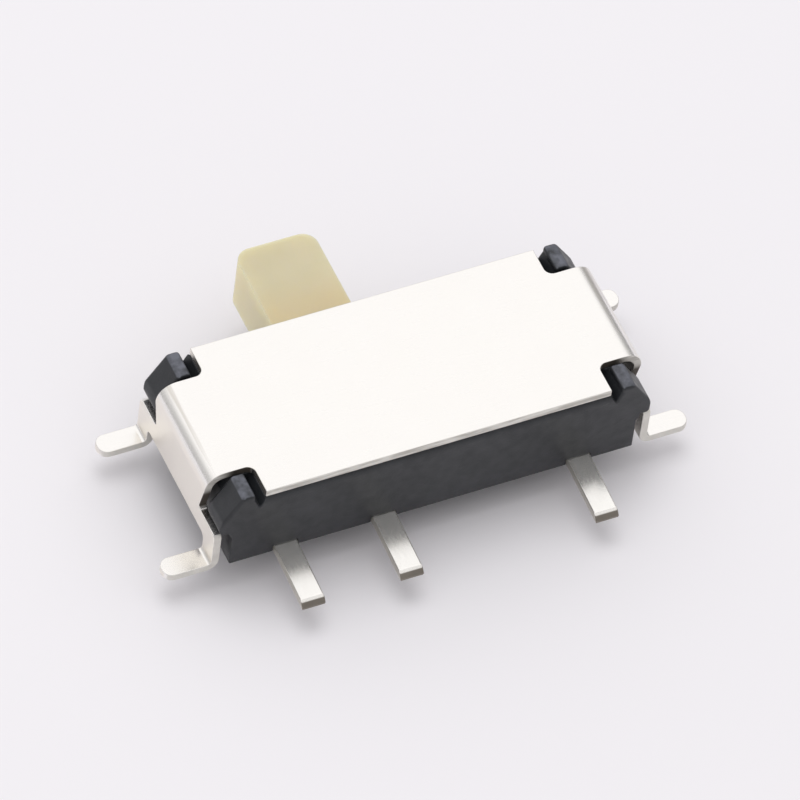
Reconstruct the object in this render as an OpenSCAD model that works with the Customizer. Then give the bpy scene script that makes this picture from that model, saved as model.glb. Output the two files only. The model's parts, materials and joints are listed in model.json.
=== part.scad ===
// Surface mount slide switch: one pole, two positions, knob at the side.
// Millimetres. X runs along the body, +Y points to the knob, -Y to the terminals.
// z = 0 is the face of the circuit board, and the origin lies midway between the two pegs.

/* [Body] */
// Length of the body over the two end skirts of the cover
cover_l = 6.7; // [6.5:0.02:7]
// Depth of the top plate
cover_d = 2.7; // [2.66:0.01:2.8]
// Height of the top of the cover above the board
cover_h = 1.5; // [1.44:0.01:1.6]

/* [Base] */
// Gap between an end wall of the base and the skirt that covers it
skirt_gap = 0.13; // [0.1:0.01:0.16]
// Distance that the front and rear walls of the base stand out past the plate
wall_lip = 0.03; // [0.01:0.01:0.08]
// Height of the underside of the base above the board
board_gap = 0.09; // [0.05:0.01:0.12]
// Thickness of the floor
floor_t = 0.24; // [0.22:0.01:0.3]
// Depth of the cavity between the front and rear walls
cavity_d = 1.9; // [1.7:0.05:2]

/* [Corner posts] */
// Gap between a post and the notch in which it stands, along the body
post_gap = 0.16; // [0.1:0.01:0.2]
// Width of the flat top of a post
post_w = 0.19; // [0.12:0.01:0.22]
// Distance of a post top below the top of the cover
post_drop = 0.01; // [0:0.01:0.06]
// Depth of the groove between a post and the wall beside it
post_groove = 0.16; // [0.06:0.01:0.2]
// Reach of the ear below a post, past the end wall of the base
ear_reach = 0.2; // [0.16:0.01:0.22]
// Height of the upright nose of an ear
ear_nose = 0.22; // [0.15:0.01:0.3]
// Height of the slope under an ear
ear_under = 0.14; // [0.08:0.01:0.2]
// Gap between the ears and the cover
ear_gap = 0.05; // [0.03:0.01:0.08]

/* [Pegs] */
// Diameter of a locating peg
peg_d = 0.75; // [0.6:0.01:0.8]
// Distance between the two pegs
peg_pitch = 3; // [2.8:0.1:3.2]
// Length of a peg below the face of the board
peg_l = 0.45; // [0.3:0.05:0.6]
// Chamfer at the tip of a peg
peg_chamfer = 0.08; // [0.05:0.01:0.12]

/* [Cover] */
// Thickness of the sheet
sheet = 0.12; // [0.1:0.01:0.16]
// Length of the front and rear edges of the plate, between the notches
plate_l = 5.28; // [5.2:0.01:5.4]
// Depth of a corner notch
notch_d = 0.49; // [0.44:0.01:0.52]
// Radius inside the corner of a notch
notch_r = 0.12; // [0.06:0.01:0.16]
// Outside radius of the bend at each end of the plate
bend_r = 0.3; // [0.26:0.01:0.32]
// Distance that each side of a skirt's neck is set in from the tongue above it
neck_inset = 0.11; // [0.08:0.01:0.14]
// Width of a skirt across its wings
wing_w = 2.64; // [2.5:0.02:2.7]
// Height of the top edge of the wings
wing_h = 0.74; // [0.68:0.01:0.78]
// Height of the arch between the legs
arch_h = 0.4; // [0.3:0.01:0.46]
// Radius in the corners of the arch, the necks and the wings
skirt_r = 0.1; // [0.05:0.01:0.12]

/* [Feet] */
// Width of a leg and of its foot
foot_w = 0.33; // [0.28:0.01:0.4]
// Reach of a foot past the skirt
foot_reach = 0.68; // [0.58:0.01:0.8]
// Radius of the corners at the tip of a foot
foot_tip_r = 0.15; // [0.08:0.01:0.16]
// Radius of the bend between a leg and its foot
foot_bend_r = 0.06; // [0.04:0.01:0.1]

/* [Terminals] */
// Smaller pitch of the terminals; the other gap is twice as wide
terminal_pitch = 1.5; // [1.4:0.02:1.56]
// Width of a terminal
terminal_w = 0.36; // [0.3:0.01:0.4]
// Thickness of a terminal
terminal_t = 0.12; // [0.11:0.01:0.16]
// Reach of a terminal past the front wall
terminal_reach = 1.03; // [0.8:0.01:1.3]
// Chamfer of the upper edge at the tip of a terminal
terminal_chamfer = 0.08; // [0.02:0.01:0.1]
// Length of the step in a terminal inside the front wall
terminal_step = 0.16; // [0.1:0.01:0.2]
// Gap between the lead of the common terminal and the pad beside it
terminal_gap = 0.09; // [0.06:0.01:0.12]
// Depth of a contact pad
pad_d = 0.9; // [0.7:0.02:1]
// Width of the arm between a lead and its pad
arm_w = 0.22; // [0.16:0.01:0.3]

/* [Slider] */
// Travel of the slider
travel = 1.4; // [1.3:0.05:1.5]
// Length of the block that slides in the cavity
block_l = 3.44; // [3.3:0.02:3.5]
// Width of the knob
knob_w = 1.22; // [1:0.02:1.4]
// Reach of the knob past the rear wall
knob_reach = 1.5; // [1:0.05:2]
// Radius of the corners at the tip of the knob
knob_r = 0.23; // [0.05:0.01:0.3]
// Gap between the knob and the cover
knob_gap = 0.09; // [0.05:0.01:0.2]
// Gap between the slider and what it slides in
slide_gap = 0.05; // [0.03:0.01:0.06]
// Gap left at each end of the travel
stop_gap = 0.03; // [0.01:0.01:0.05]

/* [Contact clip] */
// Height of the space for the clip under the block
clip_room = 0.24; // [0.22:0.01:0.28]
// Thickness of the clip
clip_t = 0.07; // [0.05:0.01:0.08]
// Width of the clip
clip_w = 0.5; // [0.4:0.02:0.6]
// Outside radius of a wiper
wiper_r = 0.13; // [0.1:0.01:0.15]
// Gap kept under the wipers
wiper_gap = 0.01; // [0.005:0.005:0.02]
// Reach of a lifted end past the middle of its wiper
wiper_end = 0.3; // [0.2:0.02:0.36]
// Gap between a lifted end and the block
end_gap = 0.02; // [0.01:0.01:0.03]
// Diameter of a stake that holds the clip
stake_d = 0.2; // [0.14:0.02:0.24]
// Distance between the two stakes
stake_pitch = 0.36; // [0.32:0.02:0.4]
// Length of a stake below the clip
stake_head = 0.03; // [0.01:0.01:0.04]
// Gap between a stake and its hole
stake_gap = 0.02; // [0.01:0.01:0.03]
// Width of the sheet left outside a stake's hole
stake_land = 0.05; // [0.03:0.01:0.08]

/* [Hidden] */
$fn = 48;
eps = 0.02;

// Base, from the cover that fits over it
base_l = cover_l - 2 * (sheet + skirt_gap);
base_d = cover_d + 2 * wall_lip;

// Levels above the board
floor_top = board_gap + floor_t;
seat_z = cover_h - sheet;
bend_low = cover_h - bend_r;
post_top = cover_h - post_drop;
ear_low = wing_h + ear_gap;
block_low = floor_top + clip_room;
block_top = seat_z - slide_gap;
knob_low = floor_top + slide_gap;
knob_top = seat_z - knob_gap;
pad_low = floor_top - terminal_t;

// Cavity and window, from the slider that moves in them
cavity_l = block_l + travel + 2 * stop_gap;
window_l = knob_w + travel + 2 * slide_gap;
slider_x = -travel / 2;
block_d = cavity_d - 2 * slide_gap;

// Corners of the cover and of the base
tongue_w = cover_d - 2 * notch_d;
neck_w = tongue_w - 2 * neck_inset;
arch_w = wing_w - 2 * foot_w;
post_x = plate_l / 2 + post_gap;
post_y = tongue_w / 2 + ear_gap;
end_chamfer = bend_r - sheet;

// Terminals: where each lead leaves the base, and the middle of its pad
lead_x = [-1.5 * terminal_pitch, -0.5 * terminal_pitch, 1.5 * terminal_pitch];
pad_x = [-travel, 0, travel];
pad_l = 2 * (lead_x[1] - pad_x[0] - terminal_w / 2 - terminal_gap);
arm_y = -pad_d / 2 - arm_w;
step_y = -cavity_d / 2 - terminal_step;

// Flat middle of the clip, with the two stakes through it
clip_flat = stake_pitch + stake_d + 2 * (stake_gap + stake_land);

module both_ends() {
    children();
    mirror([1, 0, 0]) children();
}

module both_sides() {
    children();
    mirror([0, 1, 0]) children();
}

// Fill of an inside corner whose sides run along +X and +Y
module corner_2d(r) {
    difference() {
        square(r);
        translate([r, r]) circle(r);
    }
}

// Quarter of a ring in the +X, +Y corner
module quarter_ring_2d(outer, inner) {
    intersection() {
        difference() {
            circle(outer);
            circle(inner);
        }
        square(outer);
    }
}

// Extrusion along Y of an outline drawn in X and Z
module along_y(depth) {
    rotate([90, 0, 0]) linear_extrude(height = depth, center = true) children();
}

// Extrusion along +X of an outline drawn in Y and Z
module along_x(length) {
    rotate([90, 0, 90]) linear_extrude(height = length) children();
}

// Base

module base_section_2d() {
    x = base_l / 2;
    polygon([[-x, board_gap], [x, board_gap], [x, seat_z - end_chamfer], [x - end_chamfer, seat_z],
             [end_chamfer - x, seat_z], [-x, seat_z - end_chamfer]]);
}

// Post with its ear, drawn in X and Z. It is rooted in the end wall, and its inner side runs
// from there to the notch of the plate. The slope under the ear ends halfway to the skirt.
module ear_2d() {
    wall_x = base_l / 2;
    root_x = wall_x - end_chamfer;
    nose_x = wall_x + ear_reach;
    polygon([[root_x, floor_top], [root_x, ear_low], [post_x, seat_z], [post_x, post_top],
             [post_x + post_w, post_top], [nose_x, ear_low + ear_nose], [nose_x, ear_low],
             [wall_x + skirt_gap / 2, ear_low], [wall_x, ear_low - ear_under], [wall_x, floor_top]]);
}

module ears() {
    depth = base_d / 2 - post_y;
    both_sides() both_ends()
        translate([0, post_y + depth / 2, 0]) along_y(depth) ear_2d();
}

module pegs() {
    shank_l = peg_l + board_gap - peg_chamfer;
    for (side = [-1, 1]) translate([side * peg_pitch / 2, 0, -peg_l]) {
        cylinder(h = peg_chamfer, d1 = peg_d - 2 * peg_chamfer, d2 = peg_d);
        translate([0, 0, peg_chamfer]) cylinder(h = shank_l + eps, d = peg_d);
    }
}

// Room for the slider, with the window for its knob in the rear wall
module cavity() {
    height = cover_h - floor_top;
    translate([-cavity_l / 2, -cavity_d / 2, floor_top]) cube([cavity_l, cavity_d, height]);
    translate([-window_l / 2, 0, floor_top]) cube([window_l, base_d, height]);
}

// Grooves between the posts and the ends of the front and rear walls
module post_grooves() {
    wall_x = plate_l / 2;
    both_sides() both_ends() translate([0, (tongue_w + base_d) / 2, 0]) along_y(base_d)
        polygon([[wall_x, seat_z + eps], [wall_x, seat_z], [wall_x + post_gap / 2, seat_z - post_groove],
                 [post_x, seat_z], [post_x, seat_z + eps]]);
}

module base_housing() {
    color([0.2, 0.21, 0.23]) difference() {
        union() {
            along_y(base_d) base_section_2d();
            ears();
            pegs();
        }
        cavity();
        post_grooves();
        for (i = [0 : 2]) terminal(i);
    }
}

// Cover

// Folds at the +X end, drawn in X and Z: bend, skirt, bend and foot
module end_folds_2d() {
    skirt_low = sheet + foot_bend_r;
    translate([cover_l / 2 - bend_r, bend_low]) quarter_ring_2d(bend_r, bend_r - sheet);
    translate([cover_l / 2 - sheet, skirt_low]) square([sheet, bend_low - skirt_low]);
    translate([cover_l / 2 + foot_bend_r, skirt_low]) rotate(180) quarter_ring_2d(skirt_low, foot_bend_r);
    translate([cover_l / 2 + foot_bend_r, 0]) square([foot_reach - foot_bend_r, sheet]);
}

module folded_sheet() {
    along_y(cover_d) {
        translate([bend_r - cover_l / 2, seat_z]) square([cover_l - 2 * bend_r, sheet]);
        both_ends() end_folds_2d();
    }
}

// Opening between the legs of a skirt, drawn in Y and Z
module arch_2d() {
    top = arch_h + eps;
    translate([-arch_w / 2, -eps]) difference() {
        square([arch_w, top]);
        translate([0, top]) mirror([0, 1]) corner_2d(skirt_r);
        translate([arch_w, top]) rotate(180) corner_2d(skirt_r);
    }
}

// Outline of an end skirt, drawn in Y and Z: tongue, neck, wings, arch and legs
module skirt_2d() {
    difference() {
        union() {
            translate([-tongue_w / 2, bend_low]) square([tongue_w, bend_r + eps]);
            polygon([[-tongue_w / 2, bend_low], [-neck_w / 2, wing_h], [neck_w / 2, wing_h],
                     [tongue_w / 2, bend_low]]);
            translate([-wing_w / 2, 0]) square([wing_w, wing_h]);
            both_ends() translate([neck_w / 2, wing_h]) corner_2d(min(skirt_r, neck_inset));
        }
        arch_2d();
        both_ends() translate([wing_w / 2, wing_h]) rotate(180) corner_2d(skirt_r);
    }
}

// What is left of the folded sheet after the notches and the skirts are cut out
module kept_sheet() {
    translate([-plate_l / 2, -cover_d, seat_z - eps]) cube([plate_l, 2 * cover_d, sheet + 2 * eps]);
    both_ends() translate([plate_l / 2, 0, 0]) along_x(cover_l) skirt_2d();
    both_sides() both_ends() translate([plate_l / 2, tongue_w / 2, seat_z - eps])
        linear_extrude(height = sheet + 2 * eps) corner_2d(notch_r);
}

module foot_tip_cuts() {
    tip_x = cover_l / 2 + foot_reach;
    outer_y = wing_w / 2;
    r = min(foot_tip_r, foot_w / 2);
    both_sides() both_ends() translate([tip_x, 0, -eps]) linear_extrude(height = sheet + 2 * eps) {
        translate([0, outer_y]) rotate(180) corner_2d(r);
        translate([0, outer_y - foot_w]) rotate(90) corner_2d(r);
    }
}

module cover() {
    color([0.86, 0.85, 0.82]) difference() {
        intersection() {
            folded_sheet();
            kept_sheet();
        }
        foot_tip_cuts();
    }
}

// Terminals

// Side view of a lead, drawn in Y and Z. From its tip on the board it rises to the wall, where it
// is level with the underside of the base, then goes up a step to the floor. The upper corners
// are shifted so that the sheet keeps its thickness.
module lead_2d() {
    wall_y = -base_d / 2;
    tip = [wall_y - terminal_reach, 0];
    rise_y = step_y + terminal_step;
    lead_top = board_gap + terminal_t;
    slope = atan2(board_gap, terminal_reach);
    wall_shift = terminal_t * tan(slope / 2);
    step_shift = terminal_t * tan(atan2(pad_low - board_gap, terminal_step) / 2);
    inward = [cos(slope), sin(slope)];
    upward = [-sin(slope), cos(slope)];
    chamfer = min(terminal_chamfer, terminal_t - eps);
    polygon([tip, [wall_y, board_gap], [step_y, board_gap], [rise_y, pad_low],
             [arm_y + arm_w, pad_low], [arm_y + arm_w, floor_top], [rise_y - step_shift, floor_top],
             [step_y - step_shift, lead_top], [wall_y - wall_shift, lead_top],
             tip + terminal_t * upward + chamfer * inward, tip + (terminal_t - chamfer) * upward]);
}

// Lead number i with its pad, and the arm that reaches sideways from one to the other
module terminal(i) {
    left = min(lead_x[i] - terminal_w / 2, pad_x[i] - pad_l / 2);
    right = max(lead_x[i] + terminal_w / 2, pad_x[i] + pad_l / 2);
    translate([lead_x[i] - terminal_w / 2, 0, 0]) along_x(terminal_w) lead_2d();
    translate([left, arm_y, pad_low]) cube([right - left, arm_w, terminal_t]);
    translate([pad_x[i] - pad_l / 2, arm_y, pad_low]) cube([pad_l, pad_d + arm_w, terminal_t]);
}

module terminal_left() {
    color([0.8, 0.79, 0.75]) terminal(0);
}

module terminal_common() {
    color([0.8, 0.79, 0.75]) terminal(1);
}

module terminal_right() {
    color([0.8, 0.79, 0.75]) terminal(2);
}

// Slider

module knob_2d() {
    root_y = block_d / 2 - eps;
    tip_y = base_d / 2 + knob_reach;
    difference() {
        translate([-knob_w / 2, root_y]) square([knob_w, tip_y - root_y]);
        both_ends() translate([knob_w / 2, tip_y]) rotate(180) corner_2d(knob_r);
    }
}

module slider() {
    stake_low = block_low - clip_t - stake_head;
    color([0.85, 0.81, 0.66]) translate([slider_x, 0, 0]) {
        translate([-block_l / 2, -block_d / 2, block_low]) cube([block_l, block_d, block_top - block_low]);
        translate([0, 0, knob_low]) linear_extrude(height = knob_top - knob_low) knob_2d();
        for (side = [-1, 1]) translate([side * stake_pitch / 2, 0, stake_low])
            cylinder(h = block_low - stake_low + eps, d = stake_d);
    }
}

// Contact clip

// Bar with round ends between two points
module bar_2d(start, end, width) {
    length = norm(end - start);
    translate(start) rotate(atan2(end[1] - start[1], end[0] - start[0])) {
        translate([0, -width / 2]) square([length, width]);
        circle(d = width);
        translate([length, 0]) circle(d = width);
    }
}

// Half of the clip, drawn in X and Z: flat middle, sloping arm, round wiper and lifted end
module clip_half_2d() {
    wiper = [travel / 2, floor_top + wiper_gap + wiper_r];
    side = [wiper_r - clip_t / 2, 0];
    lifted = [wiper[0] + wiper_end, block_low - end_gap - clip_t / 2];
    translate([0, block_low - clip_t]) square([clip_flat / 2, clip_t]);
    bar_2d([clip_flat / 2, block_low - clip_t / 2], wiper - side, clip_t);
    translate(wiper) rotate(180) quarter_ring_2d(wiper_r, wiper_r - clip_t);
    translate(wiper) rotate(-90) quarter_ring_2d(wiper_r, wiper_r - clip_t);
    bar_2d(wiper + side, lifted, clip_t);
}

module contact_clip() {
    color([0.78, 0.6, 0.34]) translate([slider_x, 0, 0]) difference() {
        along_y(clip_w) both_ends() clip_half_2d();
        for (side = [-1, 1]) translate([side * stake_pitch / 2, 0, floor_top])
            cylinder(h = cover_h, d = stake_d + 2 * stake_gap);
    }
}

base_housing();
cover();
terminal_left();
terminal_common();
terminal_right();
slider();
contact_clip();
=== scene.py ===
"""Looks of the slide switch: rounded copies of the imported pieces, procedural finishes, studio."""
import json
import math

import bmesh
import bpy
from mathutils import Matrix, Vector


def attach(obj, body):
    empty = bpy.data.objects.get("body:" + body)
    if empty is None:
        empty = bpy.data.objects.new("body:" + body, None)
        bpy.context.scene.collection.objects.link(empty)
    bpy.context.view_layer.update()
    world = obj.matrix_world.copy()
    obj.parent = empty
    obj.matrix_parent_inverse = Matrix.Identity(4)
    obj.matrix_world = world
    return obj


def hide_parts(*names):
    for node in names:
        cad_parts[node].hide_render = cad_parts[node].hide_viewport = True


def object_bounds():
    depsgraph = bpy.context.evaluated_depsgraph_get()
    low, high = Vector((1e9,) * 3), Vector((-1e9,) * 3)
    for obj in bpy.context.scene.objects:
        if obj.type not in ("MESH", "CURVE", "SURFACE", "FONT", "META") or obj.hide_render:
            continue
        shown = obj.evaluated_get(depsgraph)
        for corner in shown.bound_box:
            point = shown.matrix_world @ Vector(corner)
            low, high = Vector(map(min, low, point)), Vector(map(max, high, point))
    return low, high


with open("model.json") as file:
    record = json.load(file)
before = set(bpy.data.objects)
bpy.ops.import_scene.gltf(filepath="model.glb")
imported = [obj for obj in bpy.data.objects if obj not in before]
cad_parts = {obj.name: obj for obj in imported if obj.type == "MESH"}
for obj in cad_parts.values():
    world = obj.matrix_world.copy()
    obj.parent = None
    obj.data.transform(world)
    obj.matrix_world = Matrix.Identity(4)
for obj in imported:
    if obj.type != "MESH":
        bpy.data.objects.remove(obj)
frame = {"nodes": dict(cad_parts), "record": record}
cad_low, cad_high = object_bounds()

MM = 0.001


# Small helpers for shader nodes

class Nodes:
    """Short calls for the nodes of one material or world."""

    def __init__(self, tree):
        self.tree = tree

    def add(self, kind, **values):
        node = self.tree.nodes.new(kind)
        for key, value in values.items():
            setattr(node, key, value)
        return node

    def join(self, source, target):
        self.tree.links.new(source, target)

    def axis(self, vector, name):
        node = self.add("ShaderNodeSeparateXYZ")
        self.join(vector, node.inputs[0])
        return node.outputs[name]

    def math(self, operation, *sources):
        node = self.add("ShaderNodeMath", operation=operation)
        for source, target in zip(sources, node.inputs):
            self.join(source, target)
        return node.outputs[0]

    def away(self, vector, name):
        """How far a vector goes along an axis, either way."""
        return self.math("ABSOLUTE", self.axis(vector, name))

    def times(self, product, *others):
        for other in others:
            product = self.math("MULTIPLY", product, other)
        return product

    def spread(self, value, low, high, to_low=0.0, to_high=1.0, smooth=False):
        """A number that goes from to_low to to_high while the value goes from low to high."""
        node = self.add("ShaderNodeMapRange", clamp=True,
                        interpolation_type="SMOOTHSTEP" if smooth else "LINEAR")
        self.join(value, node.inputs["Value"])
        node.inputs["From Min"].default_value = low
        node.inputs["From Max"].default_value = high
        node.inputs["To Min"].default_value = to_low
        node.inputs["To Max"].default_value = to_high
        return node.outputs["Result"]

    def blend(self, factor, a, b):
        """A number that goes from a to b with the factor."""
        node = self.add("ShaderNodeMix", data_type="FLOAT")
        self.join(factor, node.inputs[0])
        for target, value in ((node.inputs[2], a), (node.inputs[3], b)):
            if isinstance(value, (int, float)):
                target.default_value = value
            else:
                self.join(value, target)
        return node.outputs[0]


class Finish(Nodes):
    """One node material, with its coordinates and the sockets of its shader."""

    def __init__(self, name):
        self.material = bpy.data.materials.new(name)
        self.material.use_nodes = True
        super().__init__(self.material.node_tree)
        self.shader = self.tree.nodes["Principled BSDF"]
        self.position = self.add("ShaderNodeTexCoord").outputs["Object"]
        self.geometry = self.add("ShaderNodeNewGeometry")
        self.normal = self.geometry.outputs["Normal"]

    def set(self, **values):
        for key, value in values.items():
            self.shader.inputs[key.replace("_", " ")].default_value = value

    def place(self, scale=(1, 1, 1)):
        """Object coordinates in millimetres, times a scale for each axis."""
        node = self.add("ShaderNodeMapping")
        node.inputs["Scale"].default_value = [s / MM for s in scale]
        self.join(self.position, node.inputs["Vector"])
        return node.outputs["Vector"]

    def noise(self, scale, detail=3.0, rough=0.5, stretch=(1, 1, 1)):
        node = self.add("ShaderNodeTexNoise")
        node.inputs["Scale"].default_value = scale
        node.inputs["Detail"].default_value = detail
        node.inputs["Roughness"].default_value = rough
        self.join(self.place(stretch), node.inputs["Vector"])
        return node.outputs["Fac"]

    def vary(self, noise, low=0.0, high=1.0):
        """A number that follows the middle range of a noise, from low to high."""
        return self.spread(noise, 0.3, 0.7, low, high)

    def mix(self, factor, a, b):
        """A colour that goes from a to b with the factor."""
        node = self.add("ShaderNodeMix", data_type="RGBA")
        self.join(factor, node.inputs[0])
        colour_inputs = [s for s in node.inputs if s.type == "RGBA"]
        for target, value in zip(colour_inputs, (a, b)):
            if isinstance(value, tuple):
                target.default_value = (*value, 1.0)
            else:
                self.join(value, target)
        return [s for s in node.outputs if s.type == "RGBA"][0]

    def bump(self, height, depth):
        """Relief of the given depth in millimetres."""
        node = self.add("ShaderNodeBump")
        node.inputs["Distance"].default_value = depth * MM
        node.inputs["Strength"].default_value = 1.0
        self.join(height, node.inputs["Height"])
        self.join(node.outputs["Normal"], self.shader.inputs["Normal"])

    def colour(self, source):
        self.join(source, self.shader.inputs["Base Color"])

    def roughness(self, source):
        self.join(source, self.shader.inputs["Roughness"])


# Finishes; places are in millimetres in the frame of the part

def plated_sheet():
    """Bright tin on a folded sheet, with dull cut edges; painted shade makes the upright sides a
    darker, warmer tin and the cut edges in the notches and beside the necks dark.
    """
    tin, tin_pale = (0.938, 0.919, 0.893), (0.957, 0.94, 0.917)
    tin_upright_shaded, tin_drawn = (0.90, 0.862, 0.80), (0.76, 0.73, 0.685)
    metal_torn, metal_sheared = (0.58, 0.555, 0.51), (0.87, 0.85, 0.80)
    notch_painted_shade = (0.10, 0.085, 0.07)
    m = Finish("plated_sheet")
    cloud = m.noise(1.3)
    rolled = m.noise(8.0, rough=0.6, stretch=(0.3, 6.0, 6.0))
    across = m.away(m.normal, "X")
    along = m.away(m.normal, "Y")
    place = m.place()
    height = m.axis(place, "Z")
    out_x = m.away(place, "X")
    out_y = m.away(place, "Y")
    # the plating is drawn into a few fine lines where the sheet is bent
    bent = m.times(m.spread(across, 0.15, 0.4, smooth=True),
                   m.spread(across, 0.99, 0.9, smooth=True))
    fine = m.noise(2.6, 2.0, rough=0.6, stretch=(5.0, 0.15, 5.0))
    drawn = m.times(bent, m.spread(fine, 0.48, 0.7, smooth=True))
    # cut edges are dull, with long streaks where the plate was sheared
    cut = m.spread(along, 0.55, 0.8, smooth=True)
    on_plate = m.spread(height, 1.3, 1.37)
    grain = m.vary(m.noise(7.0, rough=0.6), 0.5, 0.8)
    streaks = m.noise(3.0, rough=0.6, stretch=(0.5, 1.0, 4.5))
    torn = m.blend(on_plate, grain, m.spread(streaks, 0.36, 0.62, smooth=True))
    # painted shade: inside the notches and beside the necks, where the black base and the ears shade
    # them, the cut edges are coloured dark
    inside_bend = m.spread(out_x, 3.15, 2.9, smooth=True)
    below_bend = m.spread(height, 1.28, 1.08, smooth=True)
    inside_rim = m.spread(out_y, 1.15, 1.05)
    above_feet = m.spread(height, 0.55, 0.65)
    inner_shade_mask = m.times(m.math("MAXIMUM", inside_bend, below_bend), inside_rim, above_feet)
    upright = m.spread(across, 0.85, 0.98, smooth=True)
    face = m.mix(cloud, tin, tin_pale)
    # painted shade: the upright sides are coloured a darker, warmer tin than the top
    face = m.mix(upright, face, tin_upright_shaded)
    face = m.mix(drawn, face, tin_drawn)
    edge = m.mix(torn, metal_torn, metal_sheared)
    # painted shade: the cut edges in the notches and beside the necks are coloured near black
    edge = m.mix(inner_shade_mask, edge, notch_painted_shade)
    m.colour(m.mix(cut, face, edge))
    polish = m.blend(upright, m.vary(rolled, 0.24, 0.28), 0.42)
    m.roughness(m.blend(cut, m.blend(drawn, polish, 0.36), 0.58))
    m.join(m.spread(cut, 0.0, 1.0, 1.0, 0.3), m.shader.inputs["Metallic"])
    m.bump(m.blend(cut, rolled, torn), 0.00012)
    return m.material


def black_plastic():
    """Satin moulding; the upward tops of the posts are coloured paler in patches, a painted highlight
    of the light from above.
    """
    deep, soft = (0.0145, 0.0165, 0.0198), (0.025, 0.0272, 0.0312)
    post_top_light = (0.126, 0.133, 0.162)
    m = Finish("black_plastic")
    body = m.mix(m.vary(m.noise(1.6, 4.0, 0.6)), deep, soft)
    # painted highlight: upward faces at the tops of the posts are coloured paler in patches
    high = m.spread(m.axis(m.place(), "Z"), 1.40, 1.47, smooth=True)
    upward = m.spread(m.axis(m.normal, "Z"), 0.6, 0.95, smooth=True)
    patches = m.spread(m.noise(7.0), 0.25, 0.6)
    m.colour(m.mix(m.times(high, upward, patches), body, post_top_light))
    m.roughness(m.vary(m.noise(6.0, 4.0), 0.36, 0.52))
    m.bump(m.noise(38.0, rough=0.6), 0.003)
    return m.material


def cream_plastic():
    """Cream moulding that scatters some light; painted shade makes it warmer and darker near the
    wall, under the plate, and painted light makes its two sides paler.
    """
    cream, cream_pale = (0.61, 0.554, 0.375), (0.655, 0.594, 0.42)
    cream_wall_shade, cream_side_light = (0.627, 0.529, 0.333), (0.845, 0.77, 0.52)
    m = Finish("cream_plastic")
    body = m.mix(m.vary(m.noise(1.1)), cream, cream_pale)
    # painted shade: the knob is coloured warmer and darker near the wall, under the plate
    near_wall = m.spread(m.axis(m.place(), "Y"), 2.3, 1.5, smooth=True)
    body = m.mix(near_wall, body, cream_wall_shade)
    # painted light: the two side faces are coloured paler, as bright as the lit top
    side = m.spread(m.away(m.normal, "X"), 0.8, 0.98, smooth=True)
    m.colour(m.mix(side, body, cream_side_light))
    m.roughness(m.vary(m.noise(9.0), 0.4, 0.52))
    m.bump(m.noise(22.0, 2.0), 0.002)
    m.set(Specular_IOR_Level=0.3, Subsurface_Weight=0.7,
          Subsurface_Radius=(0.45, 0.4, 0.22), Subsurface_Scale=MM)
    return m.material


def plated_terminal():
    """Bright tin on drawn leads; the cut sides are duller, and the end faces of the tips are coloured
    dark brown.
    """
    tin, tin_pale = (0.93, 0.912, 0.88), (0.97, 0.957, 0.93)
    side_metal = (0.62, 0.595, 0.55)
    tip_metal, tip_pale = (0.21, 0.187, 0.158), (0.32, 0.292, 0.255)
    m = Finish("plated_terminal")
    m.set(Metallic=0.84)
    drawn = m.noise(10.0, 4.0, 0.6, (6.0, 0.4, 6.0))
    cloud = m.noise(3.0)
    cut = m.spread(m.away(m.normal, "Z"), 0.95, 0.75, smooth=True)
    tip = m.spread(m.away(m.normal, "Y"), 0.3, 0.6, smooth=True)
    face = m.mix(cloud, tin, tin_pale)
    edge = m.mix(tip, side_metal, m.mix(cloud, tip_metal, tip_pale))
    m.colour(m.mix(cut, face, edge))
    m.roughness(m.blend(cut, m.vary(drawn, 0.15, 0.22), 0.5))
    m.bump(drawn, 0.0003)
    return m.material


def contact_bronze():
    """Plain bright strip with fine lines along it."""
    bronze, bronze_pale = (0.62, 0.42, 0.21), (0.76, 0.54, 0.29)
    m = Finish("contact_bronze")
    m.set(Metallic=1.0)
    drawn = m.noise(10.0, 4.0, 0.6, (0.4, 6.0, 6.0))
    m.colour(m.mix(m.noise(3.0), bronze, bronze_pale))
    m.roughness(m.vary(drawn, 0.2, 0.32))
    m.bump(drawn, 0.0003)
    return m.material


# Pieces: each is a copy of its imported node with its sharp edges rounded, in millimetres and degrees

ROUND_FROM = 30.0  # edges that turn more than this are rounded
FLAT_BELOW = 0.6  # faces that turn less than this are one face
SAME_POINT = 0.0004
NO_LENGTH = 0.0001
SEGMENTS = 3


def settled(piece):
    """Applies a piece's modifiers and returns its new mesh."""
    bpy.context.view_layer.update()
    graph = bpy.context.evaluated_depsgraph_get()
    done = bpy.data.meshes.new_from_object(piece.evaluated_get(graph))
    before = piece.data
    piece.modifiers.clear()
    piece.data = done
    bpy.data.meshes.remove(before)
    return done


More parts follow.
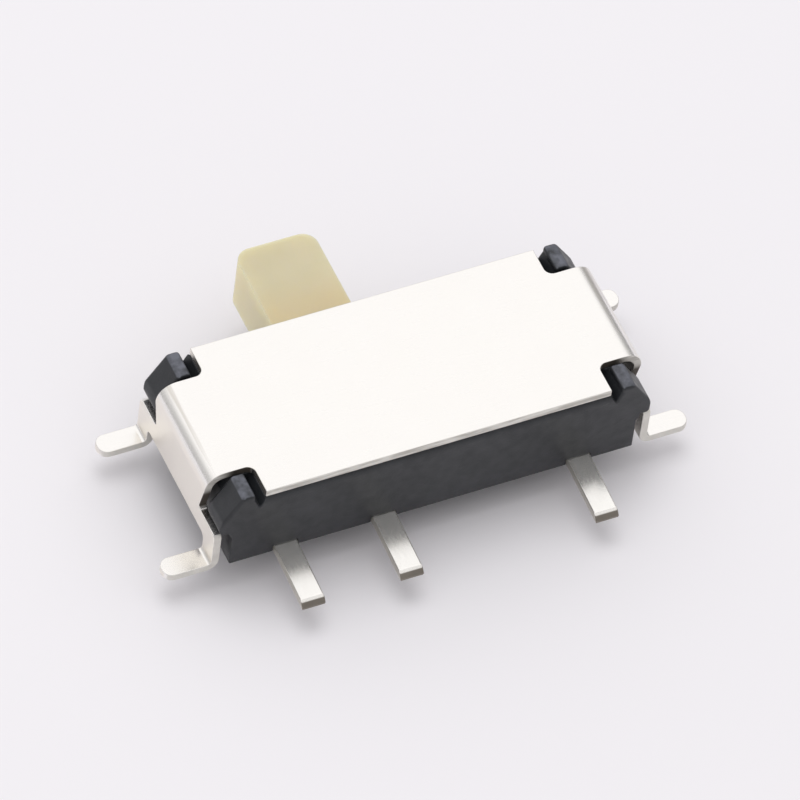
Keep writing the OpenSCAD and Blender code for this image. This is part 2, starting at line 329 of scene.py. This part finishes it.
def rounded(node, radius, crease):
    """A copy of a node's mesh with merged faces and rounded edges.

    The radius is a number, or a function of the edge. Edges that turn more than the crease, but
    too little to be rounded, shade sharp.
    """
    mesh = frame["nodes"][node].data.copy()
    mesh.name = node + "_shape"
    mesh.materials.clear()
    if mesh.has_custom_normals:
        mesh.attributes.remove(mesh.attributes["custom_normal"])
    work = bmesh.new()
    work.from_mesh(mesh)
    bmesh.ops.transform(work, matrix=Matrix.Scale(1 / MM, 4), verts=work.verts)
    bmesh.ops.remove_doubles(work, verts=work.verts, dist=SAME_POINT)
    bmesh.ops.dissolve_limit(work, angle_limit=math.radians(FLAT_BELOW),
                             verts=work.verts, edges=work.edges)
    weight = work.edges.layers.float.new("bevel_weight_edge")
    wanted = {}
    for edge in work.edges:
        edge.smooth = True
        if not edge.is_manifold:
            continue
        angle = math.degrees(edge.calc_face_angle())
        if angle > ROUND_FROM:
            wanted[edge] = radius(edge) if callable(radius) else radius
        elif angle > crease:
            edge.smooth = False
    widest = max(wanted.values())
    for edge, value in wanted.items():
        edge[weight] = value / widest
    for face in work.faces:
        face.smooth = True
    work.to_mesh(mesh)
    work.free()
    piece = bpy.data.objects.new(node + "_body", mesh)
    bpy.context.scene.collection.objects.link(piece)
    bevel = piece.modifiers.new("round", "BEVEL")
    bevel.width = widest
    bevel.segments = SEGMENTS
    bevel.limit_method = "WEIGHT"
    bevel.use_clamp_overlap = not callable(radius)
    bevel.miter_outer = "MITER_ARC"
    done = settled(piece)
    # where two roundings meet, drop the faces without area that are left between them
    work = bmesh.new()
    work.from_mesh(done)
    bmesh.ops.remove_doubles(work, verts=work.verts, dist=SAME_POINT)
    bmesh.ops.dissolve_degenerate(work, edges=work.edges, dist=NO_LENGTH)
    work.to_mesh(done)
    work.free()
    # flat faces shade flat, and the roundings between them smoothly
    flat = piece.modifiers.new("flat", "WEIGHTED_NORMAL")
    flat.weight = 100
    flat.thresh = 0.0001
    flat.keep_sharp = True
    done = settled(piece)
    done.name = node + "_mesh"
    done.transform(Matrix.Scale(MM, 4))
    return piece


CAVITY_X, CAVITY_Y, CAVITY_FLOOR = 2.6, 1.1, 0.15
NOSE_X = 3.25
POST_X, POST_Z = 2.7, 0.85
WALL_Y, WALL_TOP = 1.3, 1.38
LEAD_ROOT_Y, LEAD_TIP_Y, LEAD_TIP_Z = -1.4, -2.3, 0.1


def base_radius(edge):
    """Soft noses, posts and upper wall edges, sharp edges in the cavity, and little elsewhere."""
    first, second = (v.co for v in edge.verts)
    middle = (first + second) / 2
    x, y, z = abs(middle.x), abs(middle.y), middle.z
    across = abs(first.y - second.y) > 0.1
    if x < CAVITY_X and y < CAVITY_Y and z > CAVITY_FLOOR:
        return 0.0
    if not edge.is_convex:
        return 0.015
    if x > NOSE_X and across:
        return 0.09
    if x > POST_X and z > POST_Z:
        return 0.05
    if y > WALL_Y and abs(z - WALL_TOP) < 0.01:
        return 0.11
    return 0.025


def lead_radius(edge):
    """The long edges and the upper tip edge of a lead are rolled over; the rest is sharper."""
    first, second = (v.co for v in edge.verts)
    middle = (first + second) / 2
    if not edge.is_convex or middle.y > LEAD_ROOT_Y:
        return 0.015
    if middle.y >= LEAD_TIP_Y:
        return 0.03
    return 0.05 if middle.z > LEAD_TIP_Z else 0.012


BODY = {n: b for b, names in frame["record"]["behaviour"]["bodies"].items() for n in names}
SLOT = {s["node"]: s["material_slot"] for s in frame["record"]["subparts"]}
FINISH = {
    "plated_sheet": plated_sheet(),
    "black_plastic": black_plastic(),
    "cream_plastic": cream_plastic(),
    "plated_terminal": plated_terminal(),
    "contact_bronze": contact_bronze(),
}

# each node's edge radius, and its crease: a lead's slight bend at the wall stays sharp
ROUND = {
    "base_housing": (base_radius, ROUND_FROM),
    "cover": (0.014, ROUND_FROM),
    "terminal_left": (lead_radius, 3.0),
    "terminal_common": (lead_radius, 3.0),
    "terminal_right": (lead_radius, 3.0),
    "slider": (0.05, ROUND_FROM),
    "contact_clip": (0.01, ROUND_FROM),
}

for node, (radius, crease) in ROUND.items():
    piece = rounded(node, radius, crease)
    piece.data.materials.append(FINISH[SLOT[node]])
    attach(piece, BODY[node])
    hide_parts(node)


# Studio

FLOOR_Z = cad_low.z - 0.005 * MM
FLOOR_HALF = 0.6
PALE = (0.873, 0.857, 0.891)


def floor():
    """A pale floor just under the pegs, open to a view from below."""
    m = Finish("floor")
    m.colour(m.mix(m.noise(0.02, 2.0), PALE, tuple(c * 0.99 for c in PALE)))
    m.set(Roughness=0.9, Specular_IOR_Level=0.0)
    open_below = m.add("ShaderNodeMixShader")
    m.join(m.geometry.outputs["Backfacing"], open_below.inputs[0])
    m.join(m.shader.outputs[0], open_below.inputs[1])
    m.join(m.add("ShaderNodeBsdfTransparent").outputs[0], open_below.inputs[2])
    m.join(open_below.outputs[0], m.tree.nodes["Material Output"].inputs["Surface"])
    mesh = bpy.data.meshes.new("floor")
    corners = ((-1, -1), (1, -1), (1, 1), (-1, 1))
    mesh.from_pydata([(x * FLOOR_HALF, y * FLOOR_HALF, FLOOR_Z) for x, y in corners],
                     [], [(0, 1, 2, 3)])
    mesh.materials.append(m.material)
    plane = bpy.data.objects.new("floor", mesh)
    bpy.context.scene.collection.objects.link(plane)


def sky():
    """A soft studio sky: brightest above and behind, dim in front, at the right and low down."""
    brightest = Vector((0.10, 0.28, 0.95)).normalized()
    horizon = 0.87
    world = bpy.data.worlds.new("studio")
    world.use_nodes = True
    bpy.context.scene.world = world
    n = Nodes(world.node_tree)
    direction = n.add("ShaderNodeTexCoord").outputs["Generated"]
    towards = n.add("ShaderNodeVectorMath", operation="DOT_PRODUCT")
    towards.inputs[1].default_value = brightest
    n.join(direction, towards.inputs[0])
    x, z = n.axis(direction, "X"), n.axis(direction, "Z")
    overhead = n.spread(towards.outputs["Value"], 0.28, 0.88, 0.47, 1.06, smooth=True)
    above_horizon = n.spread(z, 0.0, 0.15, 0.45, 1.0, smooth=True)
    low_right = n.times(n.spread(x, 0.48, 0.72, 0.0, 1.0, smooth=True),
                        n.spread(z, 0.42, 0.62, 1.0, 0.0, smooth=True))
    dim_right = n.spread(low_right, 0.0, 1.0, 1.0, 0.68, smooth=True)
    bright_left = n.spread(x, -0.75, -0.3, 1.22, 1.0, smooth=True)
    level = n.times(overhead, above_horizon, dim_right, bright_left)
    seen = n.add("ShaderNodeLightPath").outputs["Is Camera Ray"]
    back = n.tree.nodes["Background"]
    n.join(n.blend(seen, level, horizon), back.inputs["Strength"])
    back.inputs["Color"].default_value = (1.0, 0.99, 0.985, 1.0)


def lamp(name, direction, distance, size, power):
    """A round soft box that points at the origin and isn't mirrored in the metal."""
    light = bpy.data.lights.new(name, "AREA")
    light.shape = "DISK"
    light.size = size
    light.energy = power
    thing = bpy.data.objects.new(name, light)
    towards = Vector(direction).normalized()
    thing.location = towards * distance
    thing.rotation_euler = towards.to_track_quat("Z", "Y").to_euler()
    thing.visible_glossy = False
    bpy.context.scene.collection.objects.link(thing)


def camera():
    """The photograph's view: direction, roll, focal length in pixels, and places in millimetres."""
    azimuth, elevation, roll = math.radians(-30.37), math.radians(51.12), 0.1454
    pixels, picture, sensor = 11302.655, 800, 36.0
    distance, shift, lift = 158.928, 0.133, 0.477
    aim = Vector((0, 0.035, 0))
    back = Vector((math.sin(azimuth) * math.cos(elevation),
                   -math.cos(azimuth) * math.cos(elevation), math.sin(elevation)))
    level = Vector((math.cos(azimuth), math.sin(azimuth), 0))
    rise = back.cross(level)
    right = math.cos(roll) * level + math.sin(roll) * rise
    up = -math.sin(roll) * level + math.cos(roll) * rise
    data = bpy.data.cameras.new("camera")
    data.sensor_fit = "HORIZONTAL"
    data.sensor_width = sensor
    data.lens = sensor * pixels / picture
    data.clip_start, data.clip_end = 0.002, 5.0
    thing = bpy.data.objects.new("camera", data)
    place = (right * shift + up * lift + back * distance + aim) * MM
    thing.matrix_world = Matrix((
        (right.x, up.x, back.x, place.x),
        (right.y, up.y, back.y, place.y),
        (right.z, up.z, back.z, place.z),
        (0, 0, 0, 1)))
    bpy.context.scene.collection.objects.link(thing)
    bpy.context.scene.camera = thing


camera()
floor()
sky()
lamp("key", direction=(-0.05, 0.19, 0.98), distance=0.10, size=0.065, power=0.0216)

bpy.context.scene.view_settings.view_transform = "Standard"
